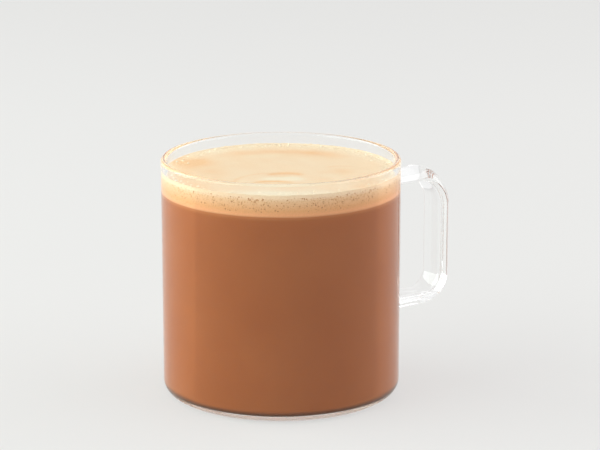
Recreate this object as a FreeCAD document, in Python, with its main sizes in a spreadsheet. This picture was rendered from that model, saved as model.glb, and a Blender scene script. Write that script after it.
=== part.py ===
import FreeCAD, Part

import math
import os

import Sketcher

# A clear glass mug with one flat handle, filled with a drink and a layer of foam.
# Millimetres, +Z up. The origin is the centre of the mug's underside, and the handle points along +X.

SIZES = (
    # The glass
    ("mug_radius", 42.5, "outside of the upright wall"),
    ("mug_height", 85.0, "underside to the top of the lip"),
    ("wall", 2.0, "thickness of the upright wall"),
    ("base_thickness", 2.2, "thickness of the glass floor"),
    ("heel_radius", 4.0, "outside rounding between the wall and the underside"),
    ("well_radius", 2.6, "inside rounding between the wall and the floor"),
    # The handle: a band that is nearly flat inside and crowned outside, bent round two corners
    ("handle_width", 12.8, "across the band"),
    ("handle_crown", 3.9, "the band's outer face, above the line of its edges"),
    ("handle_belly", 1.3, "the band's inner face, below the line of its edges"),
    ("handle_edge", 1.0, "rounding of the band's two edges"),
    ("handle_drop", 14.8, "top of the lip down to the upper arm's line"),
    ("handle_span", 45.5, "upper arm's line down to the lower arm's line"),
    ("grip_stand", 27.6, "outside of the wall to the upright grip's line"),
    ("upper_bend", 11.5, "radius of the upper corner's line"),
    ("lower_bend", 8.0, "radius of the lower corner's line"),
    ("root_round", 2.0, "hollow rounding where the band grows out of the wall"),
    # The contents, which wet the glass and so touch it all over
    ("headspace", 4.5, "top of the lip down to the foam"),
    ("foam_thickness", 7.2, "top of the foam down to the drink"),
    ("foam_climb", 0.5, "how far the foam climbs the glass"),
    ("foam_curl", 1.6, "width of the ring that climbs"),
)

# Lengths worked out from the sheet's values, as the sheet's own expressions.
INSIDE = "(sizes.mug_radius - sizes.wall)"
LIP_CENTRE = "(sizes.mug_height - sizes.wall / 2)"
UPPER_ARM = "(sizes.mug_height - sizes.handle_drop)"
LOWER_ARM = f"({UPPER_ARM} - sizes.handle_span)"
GRIP = "(sizes.mug_radius + sizes.grip_stand)"
EDGE_CENTRE = "(sizes.handle_width / 2 - sizes.handle_edge)"
FOAM_TOP = "(sizes.mug_height - sizes.headspace)"
DRINK_TOP = f"({FOAM_TOP} - sizes.foam_thickness)"

# The handle's line starts inside the wall, behind the whole width of the band.
ROOT = "(sqrt(sizes.mug_radius^2 - (sizes.handle_width / 2)^2) - sizes.wall / 3)"


def face_radius(depth):
    """Expression for the arc that is depth past the edges' line and tangent to both edge roundings."""
    edge = "sizes.handle_edge"
    return f"(({EDGE_CENTRE}^2 + {depth}^2 - {edge}^2) / (2 * ({depth} - {edge})))"


CROWN_RADIUS = face_radius("sizes.handle_crown")
BELLY_RADIUS = face_radius("sizes.handle_belly")

# Ends of a sketch's line or arc, and the sketch's own origin and upright axis.
START = 1
END = 2
CENTRE = 3
ORIGIN_POINT = (-1, 1)
UPRIGHT_AXIS = -2

FULL_TURN = 360
HALF_TURN = math.pi
QUARTER_TURN = math.pi / 2
OUT_OF_SKETCH = FreeCAD.Vector(0, 0, 1)
TOUCHING = 0.01

document = FreeCAD.newDocument("filled_mug")
sheet = document.addObject("Spreadsheet::Sheet", "sizes")


def fill_sheet():
    """One row for each driving dimension: its name, its value and what it measures."""
    for row, (name, value, meaning) in enumerate(SIZES, start=1):
        sheet.set(f"A{row}", name)
        sheet.set(f"B{row}", str(value))
        sheet.set(f"C{row}", meaning)
        sheet.setAlias(f"B{row}", name)
    document.recompute()


def size(expression):
    """The value of one of the sheet's names or expressions, in millimetres."""
    return float(sheet.evalExpression(expression))


def make_body(label):
    body = document.addObject("PartDesign::Body", label)
    body.Label = label
    return body


def make_sketch(body, name, role):
    """An empty sketch on one of the body's own origin planes."""
    plane = next(feature for feature in body.Origin.OriginFeatures if feature.Role == role)
    sketch = body.newObject("Sketcher::SketchObject", name)
    sketch.AttachmentSupport = [(plane, "")]
    sketch.MapMode = "FlatFace"
    return sketch


def point(across, up):
    return FreeCAD.Vector(across, up, 0)


def add_line(sketch, start, end):
    return sketch.addGeometry(Part.LineSegment(point(*start), point(*end)), False)


def add_arc(sketch, centre, radius, first, last):
    """A counter-clockwise arc from the angle first to the angle last."""
    circle = Part.Circle(point(*centre), OUT_OF_SKETCH, radius)
    return sketch.addGeometry(Part.ArcOfCircle(circle, first, last), False)


def bind(sketch, kind, name, expression, *places):
    """Adds a dimension whose size follows an expression."""
    index = sketch.addConstraint(Sketcher.Constraint(kind, *places, size(expression)))
    sketch.renameConstraint(index, name)
    sketch.setExpression(f"Constraints.{name}", expression)


def across(sketch, name, first, second, expression):
    bind(sketch, "DistanceX", name, expression, *first, *second)


def upward(sketch, name, first, second, expression):
    bind(sketch, "DistanceY", name, expression, *first, *second)


def radius_of(sketch, name, arc, expression):
    bind(sketch, "Radius", name, expression, arc)


def join(sketch, kind, *pairs):
    """Joins ends of lines and arcs: kind is Coincident or Tangent."""
    for first, second in pairs:
        sketch.addConstraint(Sketcher.Constraint(kind, *first, *second))


def level(sketch, *lines):
    for line in lines:
        sketch.addConstraint(Sketcher.Constraint("Horizontal", line))


def upright(sketch, *lines):
    for line in lines:
        sketch.addConstraint(Sketcher.Constraint("Vertical", line))


def revolve(body, sketch, name):
    """Turns a profile round the mug's axis."""
    turned = body.newObject("PartDesign::Revolution", name)
    turned.Profile = (sketch, [""])
    turned.ReferenceAxis = (sketch, ["V_Axis"])
    turned.Angle = FULL_TURN


def draw_glass(body):
    """Half of the mug's section: floor, heel, wall and a lip melted to a full round."""
    outer, wall, inner = size("sizes.mug_radius"), size("sizes.wall"), size(INSIDE)
    heel, well, floor = size("sizes.heel_radius"), size("sizes.well_radius"), size("sizes.base_thickness")
    lip = size(LIP_CENTRE)

    sketch = make_sketch(body, "glass_profile", "XZ_Plane")
    underside = add_line(sketch, (0, 0), (outer - heel, 0))
    heel_arc = add_arc(sketch, (outer - heel, heel), heel, -QUARTER_TURN, 0)
    outer_face = add_line(sketch, (outer, heel), (outer, lip))
    lip_arc = add_arc(sketch, (outer - wall / 2, lip), wall / 2, 0, HALF_TURN)
    inner_face = add_line(sketch, (inner, lip), (inner, floor + well))
    well_arc = add_arc(sketch, (inner - well, floor + well), well, -QUARTER_TURN, 0)
    floor_line = add_line(sketch, (inner - well, floor), (0, floor))
    axis = add_line(sketch, (0, floor), (0, 0))

    join(
        sketch,
        "Tangent",
        ((underside, END), (heel_arc, START)),
        ((heel_arc, END), (outer_face, START)),
        ((outer_face, END), (lip_arc, START)),
        ((lip_arc, END), (inner_face, START)),
        ((inner_face, END), (well_arc, END)),
        ((well_arc, START), (floor_line, START)),
    )
    join(
        sketch,
        "Coincident",
        ((floor_line, END), (axis, START)),
        ((axis, END), (underside, START)),
        ((underside, START), ORIGIN_POINT),
    )
    level(sketch, underside, floor_line)
    upright(sketch, outer_face, inner_face, axis)
    across(sketch, "outer_radius", ORIGIN_POINT, (outer_face, START), "sizes.mug_radius")
    across(sketch, "wall", (inner_face, END), (outer_face, START), "sizes.wall")
    upward(sketch, "floor", ORIGIN_POINT, (floor_line, END), "sizes.base_thickness")
    upward(sketch, "lip_centre", ORIGIN_POINT, (lip_arc, CENTRE), LIP_CENTRE)
    radius_of(sketch, "heel", heel_arc, "sizes.heel_radius")
    radius_of(sketch, "well", well_arc, "sizes.well_radius")
    return sketch


def draw_handle_line(body):
    """The line that the band follows: out of the wall, down the grip and back into the wall."""
    root, grip = size(ROOT), size(GRIP)
    top, bottom = size(UPPER_ARM), size(LOWER_ARM)
    upper, lower = size("sizes.upper_bend"), size("sizes.lower_bend")

    sketch = make_sketch(body, "handle_line", "XZ_Plane")
    upper_arm = add_line(sketch, (root, top), (grip - upper, top))
    upper_arc = add_arc(sketch, (grip - upper, top - upper), upper, 0, QUARTER_TURN)
    grip_line = add_line(sketch, (grip, top - upper), (grip, bottom + lower))
    lower_arc = add_arc(sketch, (grip - lower, bottom + lower), lower, -QUARTER_TURN, 0)
    lower_arm = add_line(sketch, (grip - lower, bottom), (root, bottom))

    join(
        sketch,
        "Tangent",
        ((upper_arm, END), (upper_arc, END)),
        ((upper_arc, START), (grip_line, START)),
        ((grip_line, END), (lower_arc, END)),
        ((lower_arc, START), (lower_arm, START)),
    )
    level(sketch, upper_arm, lower_arm)
    upright(sketch, grip_line)
    across(sketch, "upper_root", ORIGIN_POINT, (upper_arm, START), ROOT)
    across(sketch, "lower_root", ORIGIN_POINT, (lower_arm, END), ROOT)
    across(sketch, "grip", ORIGIN_POINT, (grip_line, START), GRIP)
    upward(sketch, "upper_arm", ORIGIN_POINT, (upper_arm, START), UPPER_ARM)
    upward(sketch, "lower_arm", ORIGIN_POINT, (lower_arm, END), LOWER_ARM)
    radius_of(sketch, "upper_bend", upper_arc, "sizes.upper_bend")
    radius_of(sketch, "lower_bend", lower_arc, "sizes.lower_bend")
    return sketch


def draw_handle_section(body):
    """The band's section at its upper root: a wide crowned face, a flatter one and two rounded edges."""
    middle, edge, half_span = size(UPPER_ARM), size("sizes.handle_edge"), size(EDGE_CENTRE)
    crown_radius, belly_radius = size(CROWN_RADIUS), size(BELLY_RADIUS)
    crown_rise = size("sizes.handle_crown") - crown_radius
    belly_rise = belly_radius - size("sizes.handle_belly")
    crown_angle = math.atan2(-crown_rise, half_span)
    belly_angle = math.atan2(belly_rise, half_span)

    sketch = make_sketch(body, "handle_section", "YZ_Plane")
    sketch.AttachmentOffset = FreeCAD.Placement(FreeCAD.Vector(0, 0, size(ROOT)), FreeCAD.Rotation())
    sketch.setExpression(".AttachmentOffset.Base.z", ROOT)
    crown = add_arc(sketch, (0, middle + crown_rise), crown_radius, crown_angle, HALF_TURN - crown_angle)
    left = add_arc(sketch, (-half_span, middle), edge, HALF_TURN - crown_angle, HALF_TURN + belly_angle)
    belly_ends = (HALF_TURN + belly_angle, 2 * HALF_TURN - belly_angle)
    belly = add_arc(sketch, (0, middle + belly_rise), belly_radius, *belly_ends)
    right = add_arc(sketch, (half_span, middle), edge, -belly_angle, crown_angle)

    join(
        sketch,
        "Tangent",
        ((crown, END), (left, START)),
        ((left, END), (belly, START)),
        ((belly, END), (right, START)),
        ((right, END), (crown, START)),
    )
    across(sketch, "right_side", ORIGIN_POINT, (right, CENTRE), EDGE_CENTRE)
    across(sketch, "left_side", (left, CENTRE), ORIGIN_POINT, EDGE_CENTRE)
    upward(sketch, "right_height", ORIGIN_POINT, (right, CENTRE), UPPER_ARM)
    upward(sketch, "left_height", ORIGIN_POINT, (left, CENTRE), UPPER_ARM)
    radius_of(sketch, "right_edge", right, "sizes.handle_edge")
    radius_of(sketch, "left_edge", left, "sizes.handle_edge")
    radius_of(sketch, "crown", crown, CROWN_RADIUS)
    radius_of(sketch, "belly", belly, BELLY_RADIUS)
    return sketch


def root_edges(shape):
    """Names of the edges where the band meets the outside of the wall."""
    radius, half_width = size("sizes.mug_radius"), size("sizes.handle_width") / 2
    highest = size(UPPER_ARM) + size("sizes.handle_crown")
    lowest = size(LOWER_ARM) - size("sizes.handle_crown")
    names = []
    for number, edge in enumerate(shape.Edges, start=1):
        first, last = edge.ParameterRange
        middle = edge.valueAt((first + last) / 2)
        on_wall = abs(math.hypot(middle.x, middle.y) - radius) < TOUCHING
        beside_band = middle.x > 0 and abs(middle.y) < half_width + TOUCHING
        along_band = lowest - TOUCHING < middle.z < highest + TOUCHING
        belongs_to_wall_alone = isinstance(edge.Curve, Part.Line)
        if on_wall and beside_band and along_band and not belongs_to_wall_alone:
            names.append(f"Edge{number}")
    return names


def make_mug():
    """The glass: a turned cup with its handle fused on."""
    body = make_body("mug")
    revolve(body, draw_glass(body), "cup")
    line = draw_handle_line(body)
    section = draw_handle_section(body)
    document.recompute()
    band = body.newObject("PartDesign::AdditivePipe", "band")
    band.Profile = (section, [""])
    band.Spine = (line, [""])
    document.recompute()
    root = body.newObject("PartDesign::Fillet", "handle_root")
    root.Base = (band, root_edges(band.Shape))
    root.setExpression("Radius", "sizes.root_round")
    body.Tip = root
    return body


def make_drink():
    """The drink: it fills the glass from the floor to the foam."""
    inner, top = size(INSIDE), size(DRINK_TOP)
    floor, well = size("sizes.base_thickness"), size("sizes.well_radius")

    body = make_body("drink")
    sketch = make_sketch(body, "drink_profile", "XZ_Plane")
    floor_line = add_line(sketch, (0, floor), (inner - well, floor))
    well_arc = add_arc(sketch, (inner - well, floor + well), well, -QUARTER_TURN, 0)
    side = add_line(sketch, (inner, floor + well), (inner, top))
    surface = add_line(sketch, (inner, top), (0, top))
    axis = add_line(sketch, (0, top), (0, floor))

    join(sketch, "Tangent", ((floor_line, END), (well_arc, START)), ((well_arc, END), (side, START)))
    join(
        sketch,
        "Coincident",
        ((side, END), (surface, START)),
        ((surface, END), (axis, START)),
        ((axis, END), (floor_line, START)),
    )
    level(sketch, floor_line, surface)
    upright(sketch, side, axis)
    sketch.addConstraint(Sketcher.Constraint("PointOnObject", floor_line, START, UPRIGHT_AXIS))
    across(sketch, "inside", (floor_line, START), (side, END), INSIDE)
    upward(sketch, "floor", ORIGIN_POINT, (floor_line, START), "sizes.base_thickness")
    upward(sketch, "surface", ORIGIN_POINT, (surface, END), DRINK_TOP)
    radius_of(sketch, "well", well_arc, "sizes.well_radius")
    revolve(body, sketch, "drink_solid")
    return body


def make_foam():
    """The foam: a layer right across the glass, flat on top with a ring that curls up the wall."""
    inner, bottom, top = size(INSIDE), size(DRINK_TOP), size(FOAM_TOP)
    climb, curl = size("sizes.foam_climb"), size("sizes.foam_curl")
    curl_radius = (curl**2 + climb**2) / (2 * climb)
    curl_angle = math.asin(curl / curl_radius)

    body = make_body("foam")
    sketch = make_sketch(body, "foam_profile", "XZ_Plane")
    underside = add_line(sketch, (0, bottom), (inner, bottom))
    side = add_line(sketch, (inner, bottom), (inner, top + climb))
    curl_ends = (-QUARTER_TURN, curl_angle - QUARTER_TURN)
    curl_arc = add_arc(sketch, (inner - curl, top + curl_radius), curl_radius, *curl_ends)
    surface = add_line(sketch, (inner - curl, top), (0, top))
    axis = add_line(sketch, (0, top), (0, bottom))

    join(sketch, "Tangent", ((curl_arc, START), (surface, START)))
    join(
        sketch,
        "Coincident",
        ((underside, END), (side, START)),
        ((side, END), (curl_arc, END)),
        ((surface, END), (axis, START)),
        ((axis, END), (underside, START)),
    )
    level(sketch, underside, surface)
    upright(sketch, side, axis)
    sketch.addConstraint(Sketcher.Constraint("PointOnObject", underside, START, UPRIGHT_AXIS))
    across(sketch, "inside", (underside, START), (side, START), INSIDE)
    across(sketch, "curl", (surface, START), (side, END), "sizes.foam_curl")
    upward(sketch, "underside", ORIGIN_POINT, (underside, START), DRINK_TOP)
    upward(sketch, "surface", ORIGIN_POINT, (surface, END), FOAM_TOP)
    upward(sketch, "climb", (surface, START), (side, END), "sizes.foam_climb")
    revolve(body, sketch, "foam_solid")
    return body


def check(bodies):
    """Stops the build if any object failed or any sub-part isn't one valid solid."""
    for item in document.Objects:
        if "Invalid" in item.State or "Error" in item.State:
            raise RuntimeError(f"{item.Name} failed: {item.State}")
    for body in bodies:
        if body.Shape.isNull() or not body.Shape.isValid() or len(body.Shape.Solids) != 1:
            raise RuntimeError(f"{body.Label} isn't one valid solid")


def write(bodies):
    """One STEP file for each sub-part, named by its label."""
    os.makedirs("parts", exist_ok=True)
    for body in bodies:
        body.Shape.exportStep(os.path.join("parts", f"{body.Label}.step"))
        print(f"{body.Label}: {body.Shape.Volume / 1000:.1f} cm3")


fill_sheet()
sub_parts = [make_mug(), make_drink(), make_foam()]
document.recompute()
check(sub_parts)
write(sub_parts)
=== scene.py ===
import math

import bpy
import numpy as np
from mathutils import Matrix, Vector, noise


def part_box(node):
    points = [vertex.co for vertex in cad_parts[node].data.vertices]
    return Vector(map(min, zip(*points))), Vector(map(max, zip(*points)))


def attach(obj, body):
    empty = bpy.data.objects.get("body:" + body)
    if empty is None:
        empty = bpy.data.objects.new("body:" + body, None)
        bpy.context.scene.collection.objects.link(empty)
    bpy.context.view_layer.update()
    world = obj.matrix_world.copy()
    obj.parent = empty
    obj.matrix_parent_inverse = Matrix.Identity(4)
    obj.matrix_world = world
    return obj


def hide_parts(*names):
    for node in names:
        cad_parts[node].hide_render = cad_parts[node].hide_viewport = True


# A caffe mocha with milk foam in its clear glass mug. Metres, in the frame of the CAD model:
# the mug's underside is centred on the origin, +Z is up and the handle points along +X.

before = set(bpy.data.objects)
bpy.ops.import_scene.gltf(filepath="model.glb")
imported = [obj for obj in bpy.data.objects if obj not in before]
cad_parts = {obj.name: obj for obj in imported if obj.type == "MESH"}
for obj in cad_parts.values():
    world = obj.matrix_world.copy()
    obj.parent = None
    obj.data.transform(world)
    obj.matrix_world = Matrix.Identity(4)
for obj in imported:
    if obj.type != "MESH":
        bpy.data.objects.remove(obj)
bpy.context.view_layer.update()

MM = 0.001
FULL_TURN = 2 * math.pi
HALF_TURN = math.pi
QUARTER_TURN = math.pi / 2

# ---- Sizes ----

MUG_LOW, MUG_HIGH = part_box("mug")
DRINK_LOW, DRINK_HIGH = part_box("drink")
FOAM_LOW, FOAM_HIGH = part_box("foam")

# The glass. The wall's two faces come from the frame; the roundings are the mug's own.
HEEL_RADIUS = 4.0 * MM
WELL_RADIUS = 2.6 * MM
INNER_RADIUS = DRINK_HIGH.y
OUTER_RADIUS = MUG_HIGH.y
WALL = OUTER_RADIUS - INNER_RADIUS
MUG_HEIGHT = MUG_HIGH.z
GLASS_FLOOR = DRINK_LOW.z

# The handle, a band that is crowned outside and nearly flat inside
BAND_WIDTH = 12.8 * MM
BAND_CROWN = 3.9 * MM
BAND_BELLY = 1.3 * MM
BAND_EDGE = 1.0 * MM
BAND_ROOT = 2.0 * MM
UPPER_BEND = 11.5 * MM
LOWER_BEND = 8.0 * MM
UPPER_ARM = MUG_HEIGHT - 14.8 * MM
LOWER_ARM = UPPER_ARM - 45.5 * MM
GRIP = MUG_HIGH.x - BAND_CROWN

# The contents. They reach a little into the wall, so that no air shows between them and the glass.
INTO_WALL = 0.25 * MM
FOAM_PROUD = 0.03 * MM
DRINK_TOP = DRINK_HIGH.z
FOAM_CLIMB = 0.5 * MM
FOAM_CURL = 1.6 * MM
FOAM_TOP = FOAM_HIGH.z - FOAM_CLIMB
CONTENT_RADIUS = INNER_RADIUS + INTO_WALL

# The view
CAMERA_TURN = math.radians(34.5)
CAMERA_RISE = math.radians(15.573)
CAMERA_DISTANCE = 850.66 * MM
CAMERA_LENS = 142.5
CAMERA_HEIGHT_OVER = 43.0 * MM
AIM_ASIDE = 6.753 * MM
AIM_HEIGHT = 60.119 * MM

# ---- Meshes ----


def make_object(name, points, faces):
    mesh = bpy.data.meshes.new(name)
    mesh.from_pydata([tuple(point) for point in points], [], faces)
    mesh.validate()
    mesh.update()
    mesh.shade_smooth()
    piece = bpy.data.objects.new(name, mesh)
    bpy.context.scene.collection.objects.link(piece)
    return piece


def dress(piece, material, slot, *nodes):
    """Gives a piece its material and its body, and hides the CAD nodes that it stands for; slot is not
    used.
    """
    piece.data.materials.append(material)
    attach(piece, "root")
    if nodes:
        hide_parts(*nodes)


def arc(centre, radius, first, last, steps):
    """Points of an arc from the angle first to the angle last, both included."""
    angles = np.linspace(first, last, steps + 1)
    return [(centre[0] + radius * math.cos(a), centre[1] + radius * math.sin(a)) for a in angles]


def along(start, end, steps):
    """Points of a straight stretch, both ends included."""
    return [tuple(p) for p in np.linspace(start, end, steps + 1)]


def chain(*stretches):
    """Joins stretches that start where the one before ends."""
    points = list(stretches[0])
    for stretch in stretches[1:]:
        points.extend(stretch[1:])
    return points


def turned(name, profile, segments):
    """Turns a profile of (radius, height) that runs from the axis round to the axis again."""
    middle = profile[1:-1]
    points = [(0, 0, profile[0][1])]
    for radius, height in middle:
        for step in range(segments):
            turn = FULL_TURN * step / segments
            points.append((radius * math.cos(turn), radius * math.sin(turn), height))
    points.append((0, 0, profile[-1][1]))
    last = len(points) - 1
    faces = []
    for step in range(segments):
        following = (step + 1) % segments
        faces.append((0, 1 + following, 1 + step))
        for ring in range(len(middle) - 1):
            low = 1 + ring * segments
            high = low + segments
            faces.append((low + step, low + following, high + following, high + step))
        top = 1 + (len(middle) - 1) * segments
        faces.append((top + step, top + following, last))
    return make_object(name, points, faces)


# ---- The glass mug ----

CUP_SEGMENTS = 288


def cup_profile():
    """Section of the cup, from under its middle up the outside, over the lip and down inside."""
    lip = (OUTER_RADIUS - WALL / 2, MUG_HEIGHT - WALL / 2)
    heel = arc((OUTER_RADIUS - HEEL_RADIUS, HEEL_RADIUS), HEEL_RADIUS, -QUARTER_TURN, 0, 16)
    corner = (INNER_RADIUS - WELL_RADIUS, GLASS_FLOOR + WELL_RADIUS)
    well = arc(corner, WELL_RADIUS, 0, -QUARTER_TURN, 12)
    return chain(
        along((0, 0), heel[0], 12),
        heel,
        along(heel[-1], (OUTER_RADIUS, lip[1]), 78),
        arc(lip, WALL / 2, 0, HALF_TURN, 24),
        along((INNER_RADIUS, lip[1]), well[0], 40),
        well,
        along(well[-1], (0, GLASS_FLOOR), 12),
    )


def band_section():
    """The band's section as (across, outward) points: crown, edge, belly, edge."""
    half_span = BAND_WIDTH / 2 - BAND_EDGE

    def face(depth):
        radius = (half_span**2 + depth**2 - BAND_EDGE**2) / (2 * (depth - BAND_EDGE))
        return radius, math.atan2(radius - depth, half_span)

    crown, crown_angle = face(BAND_CROWN)
    belly, belly_angle = face(BAND_BELLY)
    loop = chain(
        arc((0, BAND_CROWN - crown), crown, crown_angle, HALF_TURN - crown_angle, 28),
        arc((-half_span, 0), BAND_EDGE, HALF_TURN - crown_angle, HALF_TURN + belly_angle, 12),
        arc((0, belly - BAND_BELLY), belly, HALF_TURN + belly_angle, FULL_TURN - belly_angle, 16),
        arc((half_span, 0), BAND_EDGE, -belly_angle, crown_angle, 12),
    )
    return loop[:-1]


def grown(loop, amount):
    """The closed loop moved outward by amount, along its own normals."""
    ring = np.array(loop)
    run = np.roll(ring, -1, axis=0) - np.roll(ring, 1, axis=0)
    run /= np.linalg.norm(run, axis=1)[:, None]
    outward = np.stack([run[:, 1], -run[:, 0]], axis=1)
    return ring + outward * amount


def root_rings(height, out):
    """The rings by which the band widens into the wall, from inside the wall to the plain band.

    height is the arm's line, and out is +1 where the crown faces up and -1 where it faces down.
    """
    loop = band_section()
    rings = []
    for turn in np.radians((7, 14, 22, 31, 41, 52, 64, 77, 90)):
        clear = BAND_ROOT * (1 - math.cos(turn))
        section = grown(loop, BAND_ROOT * (1 - math.sin(turn)))
        wall = np.sqrt(OUTER_RADIUS**2 - section[:, 0] ** 2)
        rings.append(np.stack([wall + clear, section[:, 0], height + out * section[:, 1]], axis=1))
    buried = rings[0] - np.array((WALL / 2, 0, 0))
    return [buried, *rings]


def band_rings():
    """The band's rings round its two corners, between the two roots."""
    across = np.array([point[0] for point in band_section()])
    outward = np.array([point[1] for point in band_section()])
    plain = OUTER_RADIUS + BAND_ROOT
    line = chain(
        along((plain, UPPER_ARM), (GRIP - UPPER_BEND, UPPER_ARM), 8),
        arc((GRIP - UPPER_BEND, UPPER_ARM - UPPER_BEND), UPPER_BEND, QUARTER_TURN, 0, 30),
        along((GRIP, UPPER_ARM - UPPER_BEND), (GRIP, LOWER_ARM + LOWER_BEND), 22),
        arc((GRIP - LOWER_BEND, LOWER_ARM + LOWER_BEND), LOWER_BEND, 0, -QUARTER_TURN, 26),
        along((GRIP - LOWER_BEND, LOWER_ARM), (plain, LOWER_ARM), 12),
    )
    line = np.array(line)
    run = np.gradient(line, axis=0)
    run /= np.linalg.norm(run, axis=1)[:, None]
    rings = []
    for (x, z), (run_x, run_z) in zip(line, run):
        rings.append(np.stack([x - run_z * outward, across, z + run_x * outward], axis=1))
    return rings[1:-1]


def make_handle():
    rings = [*root_rings(UPPER_ARM, 1), *band_rings(), *reversed(root_rings(LOWER_ARM, -1))]
    count = len(rings[0])
    points = np.concatenate(rings)
    faces = []
    for ring in range(len(rings) - 1):
        for step in range(count):
            following = (step + 1) % count
            low, high = ring * count, (ring + 1) * count
            faces.append((low + step, low + following, high + following, high + step))
    faces.append(tuple(reversed(range(count))))
    faces.append(tuple((len(rings) - 1) * count + step for step in range(count)))
    return make_object("band", points, faces)


def join_glass(cup, band):
    """Melts the handle into the cup, so that no face is left inside the glass."""
    union = cup.modifiers.new("melt", "BOOLEAN")
    union.operation = "UNION"
    union.solver = "EXACT"
    union.object = band
    bpy.context.view_layer.update()
    melted = bpy.data.meshes.new_from_object(cup.evaluated_get(bpy.context.evaluated_depsgraph_get()))
    cup.modifiers.clear()
    cup.data = melted
    cup.data.name = cup.name
    bpy.data.objects.remove(band)
    cup.data.shade_smooth()


def make_glass_mug():
    mug = turned("glass_mug", cup_profile(), CUP_SEGMENTS)
    join_glass(mug, make_handle())
    dress(mug, glass_material(), "clear_glass", "mug")
    return mug


# ---- The contents ----

DRINK_SEGMENTS = 256
FOAM_SEGMENTS = 480
FROTH_RADIUS = 33.0 * MM
FROTH_START = 4.0 * MM
UNDER_DRINK = 0.03 * MM
CROWDED_TURNS = [-40, -28, -14, -6, 12, 24, 30]
SHARP = math.radians(50)


def level_place(x, y, scale, seed=0):
    """A place on the foam for the noise functions: scale is the size of what they make."""
    return Vector((x / scale, y / scale, seed))


def make_drink():
    """The drink, a little wider than the glass is inside, and hidden on top by the foam.

    It dips into the glass down to its corner and just clears the floor there, so that the floor's
    upper face throws light along the foot of the glass as it does in a filled mug.
    """
    well = WELL_RADIUS + INTO_WALL
    corner = (INNER_RADIUS - WELL_RADIUS, GLASS_FLOOR + WELL_RADIUS)
    top = DRINK_TOP + 1.0 * MM
    clear = arc(corner, WELL_RADIUS - UNDER_DRINK, -QUARTER_TURN, -0.75 * QUARTER_TURN, 8)
    heel = arc(corner, well, -0.6 * QUARTER_TURN, 0, 10)
    profile = chain(
        along((0, clear[0][1]), clear[0], 20),
        clear,
        along(clear[-1], heel[0], 3),
        heel,
        along(heel[-1], (CONTENT_RADIUS, top), 60),
        along((CONTENT_RADIUS, top), (0, top), 20),
    )
    drink = turned("mocha_drink", profile, DRINK_SEGMENTS)
    drink.data.set_sharp_from_angle(angle=SHARP)
    dress(drink, drink_material(), "mocha", "drink")
    return drink


# Strokes that pouring left in the foam: centre along and across the swirl, radius, width, first and
# last angle, and depth of tone, where + is creamier and - is browner. Lengths in millimetres. A
# stroke of no radius is a round patch.
SWIRL_TURN = -CAMERA_TURN
ALL_ROUND = (-100, 500)
STROKES = (
    # The arch, the pale leaf before it and the thin line before the leaf
    ((1.5, 12.0), 6.6, 1.5, 20, 160, -0.95),
    ((1.0, 7.2), 0.0, 3.2, *ALL_ROUND, -0.45),
    ((-1.0, 20.6), 15.3, 0.9, 95, 190, -0.5),
    ((0.5, 29.0), 14.5, 2.6, 56, 128, 1.2),
    ((4.5, 14.6), 0.0, 3.0, *ALL_ROUND, 0.6),
    ((-3.0, 30.0), 12.0, 1.1, 50, 130, -1.5),
    # Faint brown patches to both sides
    ((20.7, 2.0), 0.0, 5.6, *ALL_ROUND, -0.55),
    ((21.5, 1.5), 6.8, 0.9, 40, 150, -0.4),
    ((-24.0, 3.0), 0.0, 6.0, *ALL_ROUND, -0.4),
    ((-11.0, -4.0), 0.0, 4.5, *ALL_ROUND, -0.25),
    ((9.0, -14.0), 13.0, 2.5, 20, 120, -0.2),
    # The ring near the glass: pale in front, browner at its sides and at the back
    ((0.0, 0.0), 35.0, 3.6, 240, 300, 0.7),
    ((0.0, 0.0), 38.0, 4.2, 180, 250, -1.0),
    ((0.0, 0.0), 38.0, 4.2, 290, 350, -0.9),
    ((0.0, 0.0), 29.0, 4.0, 35, 145, -0.65),
    ((-33.0, -12.0), 0.0, 8.0, *ALL_ROUND, -1.7),
    ((-37.0, 2.0), 0.0, 6.0, *ALL_ROUND, -0.4),
)


def swirl_tone(x, y):
    """How creamy the swirl makes a place on the foam."""
    along_it = (x * math.cos(SWIRL_TURN) + y * math.sin(SWIRL_TURN)) / MM
    across_it = (x * math.sin(SWIRL_TURN) - y * math.cos(SWIRL_TURN)) / MM
    tone = 0
    for (centre_along, centre_across), radius, width, first, last, depth in STROKES:
        aside, behind = along_it - centre_along, centre_across - across_it
        off = (math.hypot(aside, behind) - radius) / width
        if abs(off) < 3:
            angle = math.degrees(math.atan2(behind, aside)) % 360
            inside = min(angle - first, last - angle) / 25
            if inside > 0:
                tone += depth * math.exp(-off * off) * min(inside, 1)
    return tone


def foam_tone(x, y):
    """How creamy the foam's top is: 0 is plain, 1 is dry froth, -1 is brown with cocoa."""
    radius = math.hypot(x, y)
    tone = swirl_tone(x, y)
    tone += 0.35 * noise.noise(level_place(x, y, 22 * MM, 5))
    tone += 0.22 * noise.noise(level_place(x, y, 6 * MM, 8))
    uneven = 2.5 * MM * noise.noise(level_place(x, y, 7 * MM, 2))
    froth = (radius - FROTH_RADIUS + uneven) / FROTH_START
    tone += 0.35 * min(max(froth, 0), 1)
    return tone


def froth_lift(x, y, scale, seed):
    """Height from 0 to 1 of packed bubbles of one size."""
    nearest = noise.voronoi(level_place(x, y, scale, seed))[0][0]
    return max(0, 1 - (nearest / 0.55) ** 2)


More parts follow.
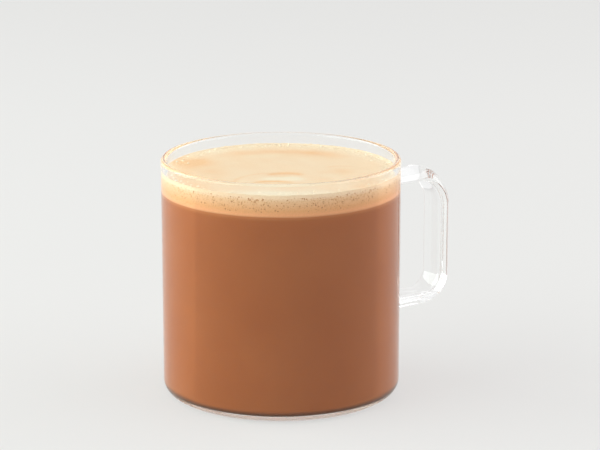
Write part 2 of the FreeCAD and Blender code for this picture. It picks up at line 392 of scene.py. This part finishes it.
def foam_height(x, y):
    """Height of the foam's top: gently uneven, frothy towards the glass and curled up against it."""
    radius = math.hypot(x, y)
    height = FOAM_TOP
    height += 0.12 * MM * noise.noise(level_place(x, y, 16 * MM, 3))
    height += 0.05 * MM * noise.noise(level_place(x, y, 4 * MM, 7))
    height += 0.015 * MM * noise.noise(level_place(x, y, 1.2 * MM, 1))
    height += 0.12 * MM * swirl_tone(x, y)
    froth = min(max((radius - FROTH_RADIUS) / FROTH_START, 0), 1)
    if froth > 0:
        patch = min(max(0.6 + noise.noise(level_place(x, y, 5 * MM, 4)), 0), 1)
        height += froth * patch * 0.16 * MM * froth_lift(x, y, 1.3 * MM, 1)
        height += froth * patch * 0.08 * MM * froth_lift(x, y, 0.7 * MM, 9)
    inside = radius - (INNER_RADIUS - FOAM_CURL)
    if inside > 0:
        height += FOAM_CLIMB * min(inside / FOAM_CURL, 1) ** 2
    return height


def foam_foot(turn):
    """Height of the uneven line where the foam's side meets the drink."""
    x, y = INNER_RADIUS * math.cos(turn), INNER_RADIUS * math.sin(turn)
    height = DRINK_TOP
    height += 0.22 * MM * noise.noise(level_place(x, y, 11 * MM))
    height += 0.06 * MM * noise.noise(level_place(x, y, 2 * MM))
    return height


def make_foam():
    radius = CONTENT_RADIUS + FOAM_PROUD
    curl = INNER_RADIUS - FOAM_CURL
    rings = [*np.linspace(0, FROTH_RADIUS, 67)[1:], *np.linspace(FROTH_RADIUS, curl, 23)[1:]]
    rings += list(np.linspace(curl, radius, 9)[1:])
    turns = [FULL_TURN * step / FOAM_SEGMENTS for step in range(FOAM_SEGMENTS)]
    points = [(0, 0, foam_height(0, 0))]
    tones = [foam_tone(0, 0)]
    for ring in rings:
        for turn in turns:
            x, y = ring * math.cos(turn), ring * math.sin(turn)
            points.append((x, y, foam_height(x, y)))
            tones.append(foam_tone(x, y))
    rim = points[-FOAM_SEGMENTS:]
    feet = [foam_foot(turn) for turn in turns]
    rows = 12
    for row in range(1, rows + 1):
        share = row / rows
        points += [(x, y, z * (1 - share) + foot * share) for (x, y, z), foot in zip(rim, feet)]
    for inward in (0.97, 0.5):
        points += [(x * inward, y * inward, foot) for (x, y, z), foot in zip(rim, feet)]
    points.append((0, 0, DRINK_TOP))
    tones += [0.0] * (len(points) - len(tones))
    foam = make_object("milk_foam", points, wheel_faces(len(points), FOAM_SEGMENTS))
    foam.data.attributes.new("tone", "FLOAT", "POINT").data.foreach_set("value", tones)
    foam.data.set_sharp_from_angle(angle=SHARP)
    dress(foam, foam_material(), "milk_foam", "foam")
    return foam


def wheel_faces(count, segments):
    """Faces of a closed turned form: its points are one pole, the rings in order and the other pole."""
    rings = (count - 2) // segments
    faces = []
    for step in range(segments):
        following = (step + 1) % segments
        faces.append((0, 1 + step, 1 + following))
        for ring in range(rings - 1):
            near = 1 + ring * segments
            far = near + segments
            faces.append((near + step, far + step, far + following, near + following))
        end = 1 + (rings - 1) * segments
        faces.append((end + following, end + step, count - 1))
    return faces


def dome(centre, axis, radius, height, segments=8):
    """Points and faces of one bubble's dome, open below."""
    up = Vector(axis).normalized()
    side = up.orthogonal().normalized()
    ahead = up.cross(side)
    points = []
    for level, share in ((0.0, 1.0), (0.45, 0.88), (0.82, 0.52)):
        for step in range(segments):
            turn = FULL_TURN * (step + level) / segments
            out = side * math.cos(turn) + ahead * math.sin(turn)
            points.append(centre + out * radius * share + up * height * level)
    points.append(centre + up * height)
    faces = []
    for step in range(segments):
        following = (step + 1) % segments
        for ring in range(2):
            low, high = ring * segments, (ring + 1) * segments
            faces.append((low + step, low + following, high + following, high + step))
        faces.append((2 * segments + step, 2 * segments + following, 3 * segments))
    return points, faces


def join_domes(name, domes):
    points, faces = [], []
    for dome_points, dome_faces in domes:
        start = len(points)
        points += dome_points
        faces += [tuple(start + corner for corner in face) for face in dome_faces]
    return make_object(name, points, faces)


def make_bubbles():
    """Bubbles that stand on the foam, most of them against the glass."""
    rng = np.random.default_rng(11)
    domes = []
    for _ in range(1300):
        turn = rng.uniform(0, FULL_TURN)
        inward = rng.exponential(1.7 * MM)
        radius = min(0.09 * MM * math.exp(rng.exponential(0.5)), 0.6 * MM)
        out = INNER_RADIUS - radius - inward
        if out < FROTH_RADIUS:
            continue
        x, y = out * math.cos(turn), out * math.sin(turn)
        centre = Vector((x, y, foam_height(x, y) - 0.25 * radius))
        domes.append(dome(centre, (0, 0, 1), radius, radius * 0.8, 10))
    bubbles = join_domes("edge_bubbles", domes)
    dress(bubbles, bubble_material(), "milk_foam")
    return bubbles


def make_pores():
    """Small bubbles in the foam's side, pressed flat against the glass and darker than the foam."""
    rng = np.random.default_rng(23)
    side = CONTENT_RADIUS + FOAM_PROUD
    clusters = [rng.uniform(0, 360) for _ in range(18)] + CROWDED_TURNS
    domes = []
    for number in range(3600):
        if number % 3:
            turn = math.radians(rng.normal(clusters[number % len(clusters)], 7) - 90) - CAMERA_TURN
        else:
            turn = rng.uniform(0, FULL_TURN)
        down = rng.beta(1.5, 2.4)
        height = FOAM_TOP - 0.3 * MM - down * (FOAM_TOP - DRINK_TOP - 1.0 * MM)
        radius = min(0.062 * MM * math.exp(rng.exponential(0.42)), 0.26 * MM)
        out = Vector((math.cos(turn), math.sin(turn), 0))
        centre = out * (side - 0.004 * MM) + Vector((0, 0, height))
        domes.append(dome(centre, out, radius, 0.03 * MM))
    pores = join_domes("foam_pores", domes)
    dress(pores, pore_material(), "milk_foam")
    return pores


# ---- Materials ----


def new_material(name):
    material = bpy.data.materials.new(name)
    material.use_nodes = True
    tree = material.node_tree
    tree.nodes.clear()
    output = tree.nodes.new("ShaderNodeOutputMaterial")
    return material, tree, output


def add_node(tree, kind, **inputs):
    """A node with some of its inputs set, by name."""
    node = tree.nodes.new(kind)
    for name, value in inputs.items():
        node.inputs[name.replace("_", " ")].default_value = value
    return node


def link(tree, source, target):
    tree.links.new(source, target)


def linear(red, green, blue):
    """A colour as it is written on a screen, 0 to 255, as the shader's linear colour."""
    shares = [value / 255 for value in (red, green, blue)]
    return tuple(s / 12.92 if s <= 0.04045 else ((s + 0.055) / 1.055) ** 2.4 for s in shares) + (1,)


def glass_material():
    """Clear glass. Lamps shine through it, so that they light what it holds."""
    material, tree, output = new_material("clear_glass")
    body = add_node(tree, "ShaderNodeBsdfPrincipled", Roughness=0.0, IOR=1.47, Transmission_Weight=1.0)
    body.inputs["Base Color"].default_value = (0.995, 0.998, 0.995, 1)
    clear = add_node(tree, "ShaderNodeBsdfTransparent", Color=(0.93, 0.94, 0.93, 1))
    path = tree.nodes.new("ShaderNodeLightPath")
    mix = tree.nodes.new("ShaderNodeMixShader")
    link(tree, path.outputs["Is Shadow Ray"], mix.inputs["Fac"])
    link(tree, body.outputs[0], mix.inputs[1])
    link(tree, clear.outputs[0], mix.inputs[2])
    link(tree, mix.outputs[0], output.inputs["Surface"])
    return material


def spot(tree):
    """Where a point of the surface is, in metres."""
    return tree.nodes.new("ShaderNodeTexCoord").outputs["Object"]


def grain(tree, size, detail):
    """A noise whose lumps are about size across, from 0 to 1."""
    scaled = add_node(tree, "ShaderNodeMapping", Scale=(1 / size, 1 / size, 1 / size))
    link(tree, spot(tree), scaled.inputs["Vector"])
    texture = add_node(tree, "ShaderNodeTexNoise", Scale=1.0, Detail=detail)
    link(tree, scaled.outputs[0], texture.inputs["Vector"])
    return texture.outputs["Fac"]


def rising(tree, low, high):
    """0 below the height low, 1 above the height high, and even between them."""
    height = tree.nodes.new("ShaderNodeSeparateXYZ")
    link(tree, spot(tree), height.inputs[0])
    share = add_node(tree, "ShaderNodeMapRange", From_Min=low, From_Max=high)
    link(tree, height.outputs["Z"], share.inputs["Value"])
    return share.outputs[0]


def ramp(tree, source, *stops):
    """Colours along a value: each stop is (place from 0 to 1, colour)."""
    node = tree.nodes.new("ShaderNodeValToRGB")
    band = node.color_ramp
    while len(band.elements) < len(stops):
        band.elements.new(1)
    for element, (place, colour) in zip(band.elements, stops):
        element.position = place
        element.color = colour
    link(tree, source, node.inputs["Fac"])
    return node.outputs["Color"]


def blend_colours(tree, share, first, second, mode="MIX"):
    """Mixes two colours by a share, each a socket or a colour."""
    node = tree.nodes.new("ShaderNodeMix")
    node.data_type = "RGBA"
    node.blend_type = mode
    sockets = {i.name: i for i in node.inputs if i.type == "RGBA"}
    for socket, value in ((node.inputs[0], share), (sockets["A"], first), (sockets["B"], second)):
        if isinstance(value, bpy.types.NodeSocket):
            link(tree, value, socket)
        else:
            socket.default_value = value
    return next(o for o in node.outputs if o.type == "RGBA")


def bumped(tree, body, height, distance, strength):
    bump = add_node(tree, "ShaderNodeBump", Strength=strength, Distance=distance)
    link(tree, height, bump.inputs["Height"])
    link(tree, bump.outputs["Normal"], body.inputs["Normal"])


# The drink: its own brown, how milk clouds it, the painted shade in the corner at its foot and what
# rises under the foam
DRINK_COLOUR = linear(162, 90, 41)
DRINK_MILKY = linear(168, 97, 48)
DRINK_PAINTED_SHADE = linear(84, 30, 10)
DRINK_FROTHY = linear(192, 124, 74)


def drink_material():
    """Milky brown, darkened by painted shade in the corner of the glass, and lighter right under the
    foam.
    """
    material, tree, output = new_material("mocha")
    body = add_node(tree, "ShaderNodeBsdfPrincipled", Roughness=0.45, IOR=1.1)
    cloud = ramp(tree, grain(tree, 0.03, 3), (0.35, DRINK_COLOUR), (0.7, DRINK_MILKY))
    # Painted shade: the drink's colour turns dark brown low in the glass's corner, where its curve lies
    # in shade.
    clear_of_painted_shade = rising(tree, GLASS_FLOOR + 0.5 * MM, GLASS_FLOOR + 1.8 * MM)
    colour = blend_colours(tree, clear_of_painted_shade, DRINK_PAINTED_SHADE, cloud)
    near_foam = rising(tree, DRINK_TOP - 1.4 * MM, DRINK_TOP + 0.4 * MM)
    colour = blend_colours(tree, near_foam, colour, DRINK_FROTHY)
    link(tree, colour, body.inputs["Base Color"])
    body.inputs["Sheen Weight"].default_value = 0.3
    body.inputs["Sheen Roughness"].default_value = 0.5
    body.inputs["Sheen Tint"].default_value = (1.0, 0.9, 0.48, 1)
    link(tree, body.outputs[0], output.inputs["Surface"])
    return material


# The foam's top, then its side from high to low
FOAM_CREAM = linear(243, 217, 185)
FOAM_DRY = linear(244, 229, 203)
FOAM_COCOA = linear(241, 199, 155)
FOAM_SIDE_HIGH = linear(234, 197, 154)
FOAM_SIDE = linear(230, 173, 120)
FOAM_SIDE_LOW = linear(238, 175, 126)
FOAM_FOOT = linear(210, 144, 96)


def foam_material():
    """Cream with the swirl's tones on top, and deeper towards the drink at the side."""
    material, tree, output = new_material("milk_foam")
    body = add_node(tree, "ShaderNodeBsdfPrincipled", Roughness=0.6, IOR=1.2)
    tone = tree.nodes.new("ShaderNodeAttribute")
    tone.attribute_name = "tone"
    shifted = add_node(tree, "ShaderNodeMapRange", From_Min=-1.0)
    link(tree, tone.outputs["Fac"], shifted.inputs["Value"])
    top = ramp(tree, shifted.outputs[0], (0.0, FOAM_COCOA), (0.5, FOAM_CREAM), (0.9, FOAM_DRY))
    side = ramp(
        tree,
        rising(tree, DRINK_TOP - 0.1 * MM, FOAM_TOP),
        (0.0, FOAM_FOOT),
        (0.09, FOAM_SIDE_LOW),
        (0.3, FOAM_SIDE),
        (0.76, FOAM_SIDE_HIGH),
        (0.93, FOAM_CREAM),
        (1.0, FOAM_DRY),
    )
    on_top = rising(tree, FOAM_TOP - 0.45 * MM, FOAM_TOP - 0.25 * MM)
    colour = blend_colours(tree, on_top, side, top)
    speckle = ramp(tree, grain(tree, 0.35 * MM, 2), (0.35, (0.93, 0.90, 0.86, 1)), (0.6, (1, 1, 1, 1)))
    colour = blend_colours(tree, 1.0, colour, speckle, "MULTIPLY")
    link(tree, colour, body.inputs["Base Color"])
    bumped(tree, body, grain(tree, 0.3 * MM, 2), 0.05 * MM, 0.5)
    link(tree, body.outputs[0], output.inputs["Surface"])
    return material


BUBBLE_CREAM = linear(242, 218, 182)
BUBBLE_PALE = linear(248, 236, 212)
PORE_DARK = linear(176, 116, 72)
PORE_TAN = linear(212, 154, 102)


def bubble_material():
    material, tree, output = new_material("bubble_film")
    body = add_node(tree, "ShaderNodeBsdfPrincipled", Roughness=0.3)
    colour = ramp(tree, grain(tree, 1.5 * MM, 2), (0.35, BUBBLE_CREAM), (0.65, BUBBLE_PALE))
    link(tree, colour, body.inputs["Base Color"])
    link(tree, body.outputs[0], output.inputs["Surface"])
    return material


def pore_material():
    material, tree, output = new_material("foam_pores")
    body = add_node(tree, "ShaderNodeBsdfPrincipled", Roughness=0.4, IOR=1.1)
    colour = ramp(tree, grain(tree, 1.0 * MM, 2), (0.35, PORE_DARK), (0.7, PORE_TAN))
    link(tree, colour, body.inputs["Base Color"])
    link(tree, body.outputs[0], output.inputs["Surface"])
    return material


def looked_at(tree):
    """1 for rays that show a thing, straight or by glass and gloss, and 0 for rays that only light."""
    path = tree.nodes.new("ShaderNodeLightPath")
    seen = path.outputs["Is Camera Ray"]
    for name in ("Is Glossy Ray", "Is Transmission Ray"):
        either = tree.nodes.new("ShaderNodeMath")
        either.operation = "MAXIMUM"
        link(tree, seen, either.inputs[0])
        link(tree, path.outputs[name], either.inputs[1])
        seen = either.outputs[0]
    return seen


def floor_material():
    """A pale floor that takes the shadow and lights up a little where it is looked at."""
    material, tree, output = new_material("pale_floor")
    body = add_node(tree, "ShaderNodeBsdfPrincipled", Roughness=0.7)
    tint = ramp(tree, grain(tree, 0.4, 2), (0.3, (0.64, 0.63, 0.62, 1)), (0.7, (0.66, 0.65, 0.64, 1)))
    link(tree, tint, body.inputs["Base Color"])
    lift = add_node(tree, "ShaderNodeEmission", Color=(1.0, 0.995, 0.985, 1), Strength=0.92)
    share = tree.nodes.new("ShaderNodeMath")
    share.operation = "MULTIPLY"
    share.inputs[1].default_value = 0.6
    link(tree, looked_at(tree), share.inputs[0])
    mix = tree.nodes.new("ShaderNodeMixShader")
    link(tree, share.outputs[0], mix.inputs["Fac"])
    link(tree, body.outputs[0], mix.inputs[1])
    link(tree, lift.outputs[0], mix.inputs[2])
    link(tree, mix.outputs[0], output.inputs["Surface"])
    return material


# ---- The stage ----


LAMP_RISE = math.radians(22)
LAMP_DISTANCE = 1.1
AMBIENT = 0.49
STUDIO_WHITE = 0.92
STUDIO_DIM = 0.7
BOUNCES = 24


def away(turn, rise, distance):
    """A place round the mug: turn is measured from the camera's side, to the right of the view."""
    bearing = CAMERA_TURN - turn
    flat = distance * math.cos(rise)
    return Vector((-flat * math.sin(bearing), -flat * math.cos(bearing), distance * math.sin(rise)))


def aim(thing, target):
    thing.rotation_euler = (target - thing.location).to_track_quat("-Z", "Y").to_euler()


def add_camera():
    data = bpy.data.cameras.new("view")
    data.lens = CAMERA_LENS
    data.sensor_width = 36
    data.clip_start = 0.01
    data.clip_end = 50
    camera = bpy.data.objects.new("view", data)
    bpy.context.scene.collection.objects.link(camera)
    camera.location = away(0, CAMERA_RISE, CAMERA_DISTANCE) + Vector((0, 0, CAMERA_HEIGHT_OVER))
    aside = Vector((math.cos(CAMERA_TURN), -math.sin(CAMERA_TURN), 0))
    aim(camera, aside * AIM_ASIDE + Vector((0, 0, AIM_HEIGHT)))
    bpy.context.scene.camera = camera


def add_softbox(name, turn, width, height, glow, tint):
    """A lamp that is a plain bright panel. glow is how bright the panel is: 1 is white."""
    data = bpy.data.lights.new(name, "AREA")
    data.shape = "RECTANGLE"
    data.size = width
    data.size_y = height
    data.energy = glow * math.pi * width * height
    data.color = tint
    lamp = bpy.data.objects.new(name, data)
    bpy.context.scene.collection.objects.link(lamp)
    centre = Vector((0, 0, MUG_HEIGHT / 2))
    lamp.location = centre + away(math.radians(turn), LAMP_RISE, LAMP_DISTANCE)
    aim(lamp, centre)


def add_lamps():
    add_softbox("key_left", turn=-84, width=1.7, height=1.2, glow=3.15, tint=(0.91, 1.0, 0.94))
    add_softbox("fill_right", turn=94, width=1.6, height=1.2, glow=1.72, tint=(1, 1, 1))


def add_world():
    """Soft even light. What shows of the studio is white, and dimmer on the viewer's side."""
    world = bpy.data.worlds.new("studio")
    world.use_nodes = True
    tree = world.node_tree
    tree.nodes.clear()
    output = tree.nodes.new("ShaderNodeOutputWorld")
    even = add_node(tree, "ShaderNodeBackground", Color=(1, 1, 1, 1), Strength=AMBIENT)
    seen = add_node(tree, "ShaderNodeBackground", Color=(1, 1, 1, 1))
    facing = tree.nodes.new("ShaderNodeVectorMath")
    facing.operation = "DOT_PRODUCT"
    facing.inputs[1].default_value = away(0, 0, 1)
    link(tree, tree.nodes.new("ShaderNodeTexCoord").outputs["Generated"], facing.inputs[0])
    dimming = add_node(tree, "ShaderNodeMapRange", From_Min=-0.2, From_Max=0.8)
    dimming.inputs["To Min"].default_value = STUDIO_WHITE
    dimming.inputs["To Max"].default_value = STUDIO_DIM
    link(tree, facing.outputs["Value"], dimming.inputs["Value"])
    link(tree, dimming.outputs[0], seen.inputs["Strength"])
    mix = tree.nodes.new("ShaderNodeMixShader")
    link(tree, looked_at(tree), mix.inputs["Fac"])
    link(tree, even.outputs[0], mix.inputs[1])
    link(tree, seen.outputs[0], mix.inputs[2])
    link(tree, mix.outputs[0], output.inputs["Surface"])
    bpy.context.scene.world = world


def add_floor():
    reach = 4.0
    drop = 0.2 * MM
    corners = [(x * reach, y * reach, -drop) for x, y in ((-1, -1), (1, -1), (1, 1), (-1, 1))]
    floor = make_object("floor", corners, [(0, 1, 2, 3)])
    floor.data.materials.append(floor_material())


make_glass_mug()
make_drink()
make_foam()
make_bubbles()
make_pores()
add_floor()
add_camera()
add_lamps()
add_world()
scene = bpy.context.scene
scene.view_settings.view_transform = "Standard"
# Light goes round inside the handle many times before it leaves the glass.
scene.cycles.max_bounces = BOUNCES
scene.cycles.glossy_bounces = BOUNCES
scene.cycles.transmission_bounces = BOUNCES
